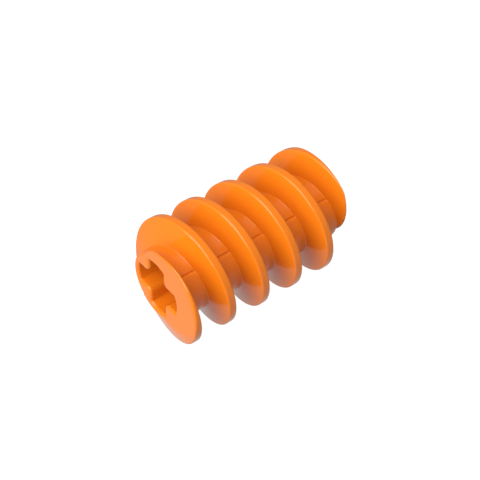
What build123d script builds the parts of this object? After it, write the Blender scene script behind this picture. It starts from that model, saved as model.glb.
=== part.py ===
from build123d import *
import math
import os

# One-start worm of a construction-toy drive, moulded in one piece, in millimetres.
# It slides on a cross-shaped axle and its thread drives module 1 spur gears.
# Row frame: the origin is the middle of the worm on its axis, +X runs along the axis and
# +Z points up. Angles round the axis are in degrees from +Z, growing towards -Y.

# Driving dimensions
GRID = 8.0                      # spacing of the holes in the beams that carry the axle
LEAD = 2 * GRID / 5             # five turns in two grid spacings, so worms in a row stay in step
LENGTH = 15.5                   # two grid spacings, less the play between neighbours
TIP_RADIUS = 4.92
CORE_RADIUS = 2.91
CREST_WIDTH = 0.65              # along the axis, at the tip radius
ROOT_WIDTH = 1.77               # along the axis, at the core radius
CREST_PHASE = 65.0              # angle of the thread's crest at the start face
END_ROUNDING = 0.18             # on the outer edges of both end faces

AXLE_DIAMETER = 4.8             # across the arms of the cross axle
AXLE_ARM = 1.8                  # thickness of each arm
HOLE_RADIUS = AXLE_DIAMETER / 2 + 0.02
SLOT_WIDTH = AXLE_ARM + 0.04
LOBE_ROUNDING = 0.3             # on the four inner corners of the cross hole
MOUTH_ROUNDING = 0.24           # where the hole meets the end faces

# The two halves of the mould meet on a plane through the axis, and the core is a little
# prouder in the half below it, which leaves a small step along each joint.
PARTING_ANGLE = 45.0
PROUD_CORE_RADIUS = 3.0

# The thin start of the thread is cut back to a flat that blends into the tip radius.
START_FLAT = 3.95               # from the axis
START_BLEND = 1.75              # where the flat ends, towards -Y
CUT_DEPTH = 0.35

CLEAR = 0.004                   # keeps the trimming faces off the thread's own faces
SINK = 0.01                     # how far the thread's foot passes the core's end rounding

# The worm is built standing, then laid down: standing X, Y and Z become row +Z, -Y and +X.
LAID_DOWN = Plane(origin=(0, 0, 0), x_dir=(0, 0, 1), z_dir=(1, 0, 0))


def polar(radius, angle):
    turn = math.radians(angle)
    return (radius * math.cos(turn), radius * math.sin(turn))


def core(radius):
    """Solid round bar with rounded ends."""
    bar = Cylinder(radius, LENGTH)
    return fillet(bar.edges().filter_by(GeomType.CIRCLE), END_ROUNDING)


def thread_section():
    """Axial section of the thread: X is the radius and Z runs along the axis."""
    foot = CORE_RADIUS - END_ROUNDING - SINK
    slope = (ROOT_WIDTH - CREST_WIDTH) / 2 / (TIP_RADIUS - CORE_RADIUS)
    half_crest = CREST_WIDTH / 2
    half_foot = ROOT_WIDTH / 2 + slope * (CORE_RADIUS - foot)
    outline = [
        (foot, -half_foot),
        (TIP_RADIUS, -half_crest),
        (TIP_RADIUS, half_crest),
        (foot, half_foot),
    ]
    with BuildSketch(Plane.XZ) as section:
        with BuildLine():
            Polyline(*outline, close=True)
        make_face()
    return section.sketch


def start_outline():
    """Everything that the start face keeps: a disc with the flat and its blend."""
    rim = TIP_RADIUS + CLEAR
    radius = (rim**2 - START_FLAT**2 - START_BLEND**2) / (2 * (rim - START_FLAT))
    centre = Vector(START_FLAT - radius, START_BLEND)
    end_angle = math.degrees(math.atan2(centre.Y, centre.X))
    flat_start = (START_FLAT, -math.sqrt(rim**2 - START_FLAT**2))
    with BuildSketch() as section:
        with BuildLine():
            Line(flat_start, (START_FLAT, START_BLEND))
            ThreePointArc(
                (START_FLAT, START_BLEND),
                centre + Vector(polar(radius, end_angle / 2)),
                polar(rim, end_angle),
            )
            ThreePointArc(polar(rim, end_angle), (-rim, 0), flat_start)
        make_face()
    return section.sketch


def end_outline():
    with BuildSketch() as section:
        Circle(TIP_RADIUS + CLEAR)
    return section.sketch


def end_trim(outline, end):
    """What is cut from the thread at one end, so that its outer edge is rounded there."""
    half = CUT_DEPTH + END_ROUNDING
    kept = extrude(outline, half, both=True)
    kept = fillet(kept.edges().group_by(Axis.Z)[-1 if end > 0 else 0], END_ROUNDING)
    kept = Pos(0, 0, end * (LENGTH / 2 - half)) * kept
    ring = Cylinder(2 * TIP_RADIUS, CUT_DEPTH)
    return Pos(0, 0, end * (LENGTH - CUT_DEPTH) / 2) * ring - kept


def thread():
    """Right-hand helical ridge, cut square at both ends and rounded there."""
    before = LEAD * (1 + CREST_PHASE / 360)
    path = Helix(pitch=LEAD, height=LENGTH + 3 * LEAD, radius=TIP_RADIUS)
    ridge = sweep(thread_section(), path=path, is_frenet=True)
    ridge = Pos(0, 0, -LENGTH / 2 - before) * ridge
    ridge &= Box(4 * TIP_RADIUS, 4 * TIP_RADIUS, LENGTH)
    ridge -= end_trim(start_outline(), -1)
    ridge -= end_trim(end_outline(), 1)
    return ridge


def solid_worm():
    """The thread on its core, made as the two halves of the mould make it."""
    ridge = thread()
    normal = Vector(*polar(1, PARTING_ANGLE + 90))
    parting = Plane(origin=(0, 0, 0), x_dir=(0, 0, 1), z_dir=normal)
    upper = split(core(CORE_RADIUS) + ridge, bisect_by=parting, keep=Keep.BOTTOM)
    lower = split(core(PROUD_CORE_RADIUS) + ridge, bisect_by=parting, keep=Keep.TOP)
    return lower + upper


def hole_section():
    """Cross with round arm ends, and the four inner corners rounded over."""
    with BuildSketch() as section:
        Rectangle(2 * AXLE_DIAMETER, SLOT_WIDTH)
        Rectangle(SLOT_WIDTH, 2 * AXLE_DIAMETER)
        corners = section.vertices().group_by(lambda v: round(v.center().length, 3))[0]
        fillet(corners, LOBE_ROUNDING)
        Circle(HOLE_RADIUS, mode=Mode.INTERSECT)
    return section.sketch


def worm():
    """Bores the cross hole through and rounds both of its mouths."""
    bored = solid_worm() - extrude(hole_section(), LENGTH, both=True)
    faces = bored.faces().filter_by(GeomType.PLANE).group_by(Axis.Z)
    rings = [wire for face in faces[0] + faces[-1] for wire in face.inner_wires()]
    mouths = [edge for wire in rings for edge in wire.edges()]
    return LAID_DOWN.location * fillet(mouths, MOUTH_ROUNDING)


def main():
    os.makedirs("parts", exist_ok=True)
    part = worm().solids()[0]
    print("worm: volume", round(part.volume, 2), "mm3, valid", part.is_valid)
    export_step(part, "parts/worm.step")


if __name__ == "__main__":
    main()
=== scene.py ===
import math

import bpy
import numpy as np
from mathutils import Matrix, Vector


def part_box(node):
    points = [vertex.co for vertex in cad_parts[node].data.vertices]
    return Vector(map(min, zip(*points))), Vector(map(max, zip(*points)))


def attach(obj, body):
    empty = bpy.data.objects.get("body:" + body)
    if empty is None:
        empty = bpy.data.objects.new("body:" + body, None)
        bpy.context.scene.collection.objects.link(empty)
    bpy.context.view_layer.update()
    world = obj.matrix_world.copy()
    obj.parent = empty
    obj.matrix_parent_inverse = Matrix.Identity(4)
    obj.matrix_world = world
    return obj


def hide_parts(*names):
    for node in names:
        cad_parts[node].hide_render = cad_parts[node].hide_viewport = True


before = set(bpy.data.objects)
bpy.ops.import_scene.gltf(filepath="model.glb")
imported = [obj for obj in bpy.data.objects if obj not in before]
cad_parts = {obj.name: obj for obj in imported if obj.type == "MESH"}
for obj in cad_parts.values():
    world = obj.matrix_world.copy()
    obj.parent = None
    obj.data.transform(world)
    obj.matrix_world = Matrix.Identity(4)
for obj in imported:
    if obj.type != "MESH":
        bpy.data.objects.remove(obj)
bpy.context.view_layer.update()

LOW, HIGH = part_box("worm")
MM = 0.001

# ---------------------------------------------------------------- sizes, in millimetres
HALF_LENGTH = (HIGH.x - LOW.x) / 2 / MM
TIP_RADIUS = (HIGH.z - LOW.z) / 2 / MM
LEAD = 3.2
CORE_RADIUS = 2.91
PROUD_CORE_RADIUS = 3.0
CREST_WIDTH = 0.65
ROOT_WIDTH = 1.77
CREST_PHASE = 65.0          # angle of the crest at the start face, from +Z towards -Y
PARTING_ANGLE = 44.2        # where the prouder half of the core starts
RAMP_ANGLE = 6.5            # over which the joint's rounded step rises
JOINT_DEPTH = 0.11          # of the fine groove along the mould joint
JOINT_SPREAD = 1.3          # half its width as an angle
HOLE_RADIUS = 2.42
HALF_SLOT = 0.92
START_FLAT = 3.95           # height of the flat that cuts back the thread's start
START_BLEND = 1.75          # where an arc takes over from the flat, beside the axis
CUT_DEPTH = 0.35            # how far along the axis the cut reaches

CREST_ROUNDING = 0.09
ROOT_FILLET = 0.04
THIN_ROOT_FILLET = 0.05     # share of the fillet that is left at an end face
END_ROUNDING = 0.18         # of the core at both ends, and of the tip at the start face
FAR_END_ROUNDING = 0.06     # of the tip at the far face
EDGE_ROUNDING = 0.09        # where a flank runs out into the start face
FAR_EDGE_ROUNDING = 0.03    # and into the far face
ROUNDING_CHANGE = 0.3       # over which the flank's rounding becomes the tip's
MOUTH_ROUNDING = 0.24
LOBE_ROUNDING = 0.5         # of the four lobes between the hole's arms

CELL = 0.06                 # of the net that the surface is drawn on
NET_SHIFT = 0.137           # in cells, so that no row of the net lies in a flat face
NET_MARGIN = 5              # rows past the worm, at the two ends of an axis together
SETTLING_STEPS = 4
SLOPE_REACH = 1e-4
LEAST_STEEPNESS = 0.25
FACE_SNAP = 0.1             # in cells
SLOPE = (ROOT_WIDTH - CREST_WIDTH) / 2 / (TIP_RADIUS - CORE_RADIUS)


# ---------------------------------------------------------------- the worm as a distance
def round_both(a, b, radius):
    """Inside both shapes, with the edge between them rounded over."""
    corner = np.hypot(np.maximum(a + radius, 0), np.maximum(b + radius, 0))
    return np.minimum(-radius, np.maximum(a, b)) + corner


def fillet_either(a, b, radius):
    """Inside either shape, with a fillet in the corner between them."""
    corner = np.hypot(np.maximum(radius - a, 0), np.maximum(radius - b, 0))
    return np.maximum(radius, np.minimum(a, b)) - corner


def core_radius(angle):
    """The two mould halves differ a little: each joint is a small rounded step and a groove."""
    turn = np.mod(angle - PARTING_ANGLE, 360)
    rise = np.clip(np.minimum(turn, 180 - turn) / RAMP_ANGLE, 0, 1)
    step = PROUD_CORE_RADIUS - CORE_RADIUS
    past_joint = np.mod(angle - PARTING_ANGLE + 90, 180) - 90
    off_middle = (past_joint + JOINT_SPREAD) / JOINT_SPREAD
    groove = JOINT_DEPTH * np.clip(1 - off_middle**2, 0, 1)
    return CORE_RADIUS + step * np.sqrt(1 - (1 - rise) ** 2) - groove


def start_outline(right, up, radius):
    """Distance outside the flat at the thread's start and its blend into the tip."""
    blend = (TIP_RADIUS**2 - START_FLAT**2 - START_BLEND**2) / 2 / (TIP_RADIUS - START_FLAT)
    middle = START_FLAT - blend
    round_part = np.hypot(right - START_BLEND, up - middle) - blend
    in_blend = (right > START_BLEND) & (right * middle < up * START_BLEND)
    rest = np.where(in_blend, round_part, radius - TIP_RADIUS)
    return np.where((right <= START_BLEND) & (up > 0), up - START_FLAT, rest)


def hole(right, up, radius):
    """Cross hole for the axle: negative in the opening."""
    cross = fillet_either(abs(right) - HALF_SLOT, abs(up) - HALF_SLOT, LOBE_ROUNDING)
    return np.maximum(cross, radius - HOLE_RADIUS)


def worm(x, y, z):
    """About the distance to the worm's surface in millimetres, negative inside."""
    right = -y
    radius = np.hypot(y, z)
    angle = np.degrees(np.arctan2(right, z))
    face = abs(x) - HALF_LENGTH

    crest = -HALF_LENGTH + (angle - CREST_PHASE) * LEAD / 360
    offset = x - crest
    offset = abs(offset - LEAD * np.round(offset / LEAD))
    flank = (offset - CREST_WIDTH / 2 - SLOPE * (TIP_RADIUS - radius)) / math.hypot(1, SLOPE)

    cut = np.minimum(start_outline(right, z, radius), -HALF_LENGTH + CUT_DEPTH - x)
    tip = np.maximum(radius - TIP_RADIUS, cut)
    thread = round_both(flank, tip, CREST_ROUNDING)
    at_tip = np.clip(0.5 + (tip - flank) / ROUNDING_CHANGE, 0, 1)
    start_rounding = EDGE_ROUNDING + (END_ROUNDING - EDGE_ROUNDING) * at_tip
    far_rounding = FAR_EDGE_ROUNDING + (FAR_END_ROUNDING - FAR_EDGE_ROUNDING) * at_tip
    thread = round_both(thread, face, np.where(x < 0, start_rounding, far_rounding))

    core = round_both(radius - core_radius(angle), face, END_ROUNDING)
    depth = np.clip(-face / (2 * ROOT_FILLET), THIN_ROOT_FILLET, 1)
    body = fillet_either(core, thread, ROOT_FILLET * depth)
    body = np.maximum(body, face)
    return round_both(body, -hole(right, z, radius), MOUTH_ROUNDING)


# ---------------------------------------------------------------- drawing the surface
def net_points():
    """The net's three axes, a little longer than the worm at both ends."""
    spans = (HALF_LENGTH, TIP_RADIUS, TIP_RADIUS)
    counts = [int(2 * span / CELL) + NET_MARGIN for span in spans]
    return [(np.arange(n) - (n - 1) / 2 + NET_SHIFT) * CELL for n in counts]


def cell_vertices(field, axes):
    """One vertex in each cell that the surface passes through, and each cell's number."""
    inside = field < 0
    corners = [
        inside[i:i - 1 or None, j:j - 1 or None, k:k - 1 or None]
        for i in (0, 1) for j in (0, 1) for k in (0, 1)
    ]
    total = sum(corner.astype(np.int8) for corner in corners)
    mixed = (total > 0) & (total < 8)
    number = np.full(mixed.shape, -1, np.int64)
    number[mixed] = np.arange(mixed.sum())
    cells = np.argwhere(mixed)
    summed = np.zeros((len(cells), 3))
    count = np.zeros(len(cells))
    for axis in range(3):
        step = np.eye(3, dtype=int)[axis]
        others = [np.eye(3, dtype=int)[other] for other in range(3) if other != axis]
        for first in (0, 1):
            for second in (0, 1):
                low = cells + first * others[0] + second * others[1]
                high = low + step
                a = field[tuple(low.T)]
                b = field[tuple(high.T)]
                crossed = (a < 0) != (b < 0)
                share = np.where(crossed, a / np.where(crossed, a - b, 1), 0)
                point = low + share[:, None] * step
                summed[crossed] += point[crossed]
                count[crossed] += 1
    origin = np.array([axis[0] for axis in axes])
    return origin + CELL * summed / count[:, None], number


def cell_faces(field, number):
    """A square across each net edge that the surface crosses, facing outwards."""
    inside = field < 0
    faces = []
    for axis in range(3):
        along = np.moveaxis(inside, axis, 0)
        cells = np.moveaxis(number, axis, 0)
        crossed = np.argwhere(along[:-1, 1:-1, 1:-1] != along[1:, 1:-1, 1:-1])
        i, j, k = crossed.T
        square = np.stack([
            cells[i, j, k], cells[i, j + 1, k], cells[i, j + 1, k + 1], cells[i, j, k + 1],
        ], 1)
        backwards = along[i, j + 1, k + 1] == (axis == 1)
        square[backwards] = square[backwards][:, ::-1]
        faces.append(square)
    return np.concatenate(faces)


def settle(points):
    """Moves each vertex onto the surface, and those near an end face into its plane."""
    for _ in range(SETTLING_STEPS):
        here = worm(*points.T)
        slope = np.stack([
            worm(*(points + SLOPE_REACH * axis).T) - worm(*(points - SLOPE_REACH * axis).T)
            for axis in np.eye(3)
        ], 1) / (2 * SLOPE_REACH)
        steep = np.maximum((slope**2).sum(1), LEAST_STEEPNESS)
        move = -(here / steep)[:, None] * slope
        points = points + np.clip(move, -CELL, CELL)
    on_face = abs(abs(points[:, 0]) - HALF_LENGTH) < FACE_SNAP * CELL
    points[on_face, 0] = np.sign(points[on_face, 0]) * HALF_LENGTH
    return points


def inside_box(points):
    """Keeps the last rounding error inside the CAD model's box."""
    return np.clip(points, np.array(LOW), np.array(HIGH))


def build_worm():
    axes = net_points()
    x, y, z = np.meshgrid(*axes, indexing="ij", sparse=True)
    field = worm(x, y, z)
    points, number = cell_vertices(field, axes)
    points = settle(points)
    mesh = bpy.data.meshes.new("worm_moulding")
    mesh.from_pydata(inside_box(points * MM), [], cell_faces(field, number))
    mesh.update()
    mesh.shade_smooth()
    piece = bpy.data.objects.new("worm_moulding", mesh)
    bpy.context.scene.collection.objects.link(piece)
    return piece


# ---------------------------------------------------------------- material
def moulded_plastic(name):
    """Glossy moulded plastic: an even orange with faint flow marks and a fine surface."""
    material = bpy.data.materials.new(name)
    material.use_nodes = True
    nodes = material.node_tree.nodes
    links = material.node_tree.links
    shader = nodes["Principled BSDF"]
    shader.inputs["IOR"].default_value = 1.42

    where = nodes.new("ShaderNodeTexCoord")
    flow = nodes.new("ShaderNodeTexNoise")
    flow.inputs["Scale"].default_value = 220
    flow.inputs["Detail"].default_value = 3
    links.new(where.outputs["Object"], flow.inputs["Vector"])

    tint = nodes.new("ShaderNodeValToRGB")
    tint.color_ramp.elements[0].color = (0.74, 0.174, 0.0065, 1)
    tint.color_ramp.elements[1].color = (0.78, 0.187, 0.0080, 1)
    links.new(flow.outputs["Fac"], tint.inputs["Fac"])
    links.new(tint.outputs["Color"], shader.inputs["Base Color"])

    gloss = nodes.new("ShaderNodeMapRange")
    gloss.inputs["To Min"].default_value = 0.11
    gloss.inputs["To Max"].default_value = 0.17
    links.new(flow.outputs["Fac"], gloss.inputs["Value"])
    links.new(gloss.outputs["Result"], shader.inputs["Roughness"])

    grain = nodes.new("ShaderNodeTexNoise")
    grain.inputs["Scale"].default_value = 2600
    grain.inputs["Detail"].default_value = 2
    links.new(where.outputs["Object"], grain.inputs["Vector"])
    bump = nodes.new("ShaderNodeBump")
    bump.inputs["Strength"].default_value = 0.04
    bump.inputs["Distance"].default_value = 0.00002
    links.new(grain.outputs["Fac"], bump.inputs["Height"])
    links.new(bump.outputs["Normal"], shader.inputs["Normal"])
    return material


# ---------------------------------------------------------------- stage
VIEW_AZIMUTH = 38.18        # between the worm's axis and the picture's plane
VIEW_ELEVATION = 43.7
VIEW_DISTANCE = 90.985 * MM
LENS = 87.72
LENS_SHIFT = (0.0044, 0.0082)
CLIP_START = 0.001
FLOOR_HALF_WIDTH = 1.5


def add_camera():
    azimuth = math.radians(VIEW_AZIMUTH)
    elevation = math.radians(VIEW_ELEVATION)
    back = Vector((
        -math.sin(azimuth) * math.cos(elevation),
        -math.cos(azimuth) * math.cos(elevation),
        math.sin(elevation),
    ))
    data = bpy.data.cameras.new("camera")
    data.lens = LENS
    data.sensor_width = 36
    data.shift_x, data.shift_y = LENS_SHIFT
    data.clip_start = CLIP_START
    camera = bpy.data.objects.new("camera", data)
    camera.location = back * VIEW_DISTANCE
    camera.rotation_euler = back.to_track_quat("Z", "Y").to_euler()
    bpy.context.scene.collection.objects.link(camera)
    bpy.context.scene.camera = camera


def add_light(name, place, size, power):
    data = bpy.data.lights.new(name, "AREA")
    data.shape = "DISK"
    data.size = size
    data.energy = power
    light = bpy.data.objects.new(name, data)
    light.location = place
    light.rotation_euler = Vector(place).to_track_quat("Z", "Y").to_euler()
    bpy.context.scene.collection.objects.link(light)
    return light


def add_floor():
    """White floor that glows evenly: only the camera sees it, so it takes no shadow."""
    half = FLOOR_HALF_WIDTH
    mesh = bpy.data.meshes.new("floor")
    corners = [(-half, -half, 0), (half, -half, 0), (half, half, 0), (-half, half, 0)]
    mesh.from_pydata(corners, [], [(0, 1, 2, 3)])
    floor = bpy.data.objects.new("floor", mesh)
    floor.location.z = LOW.z
    material = bpy.data.materials.new("floor")
    material.use_nodes = True
    shader = material.node_tree.nodes["Principled BSDF"]
    shader.inputs["Base Color"].default_value = (0.08, 0.08, 0.08, 1)
    shader.inputs["Roughness"].default_value = 1
    shader.inputs["Specular IOR Level"].default_value = 0
    shader.inputs["Emission Color"].default_value = (1, 1, 1, 1)
    shader.inputs["Emission Strength"].default_value = 1
    mesh.materials.append(material)
    floor.visible_diffuse = False
    floor.visible_glossy = False
    floor.visible_shadow = False
    bpy.context.scene.collection.objects.link(floor)


def add_world():
    world = bpy.data.worlds.new("studio")
    world.use_nodes = True
    sky = world.node_tree.nodes["Background"]
    sky.inputs["Color"].default_value = (1, 1, 1, 1)
    sky.inputs["Strength"].default_value = 0.4
    bpy.context.scene.world = world
    bpy.context.scene.view_settings.view_transform = "Standard"


worm_piece = build_worm()
worm_piece.data.materials.append(moulded_plastic("orange_plastic"))
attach(worm_piece, "root")
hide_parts("worm")

add_camera()
add_floor()
add_world()
add_light("key", (-0.35, -0.06, 0.205), 0.50, 2.6)
add_light("top", (-0.08, -0.06, 0.44), 0.40, 1.0)
# Below the floor, to be seen in reflections only.
bounce = add_light("bounce", (-0.05, -0.10, -0.30), 1.2, 1.0)
bounce.visible_diffuse = False
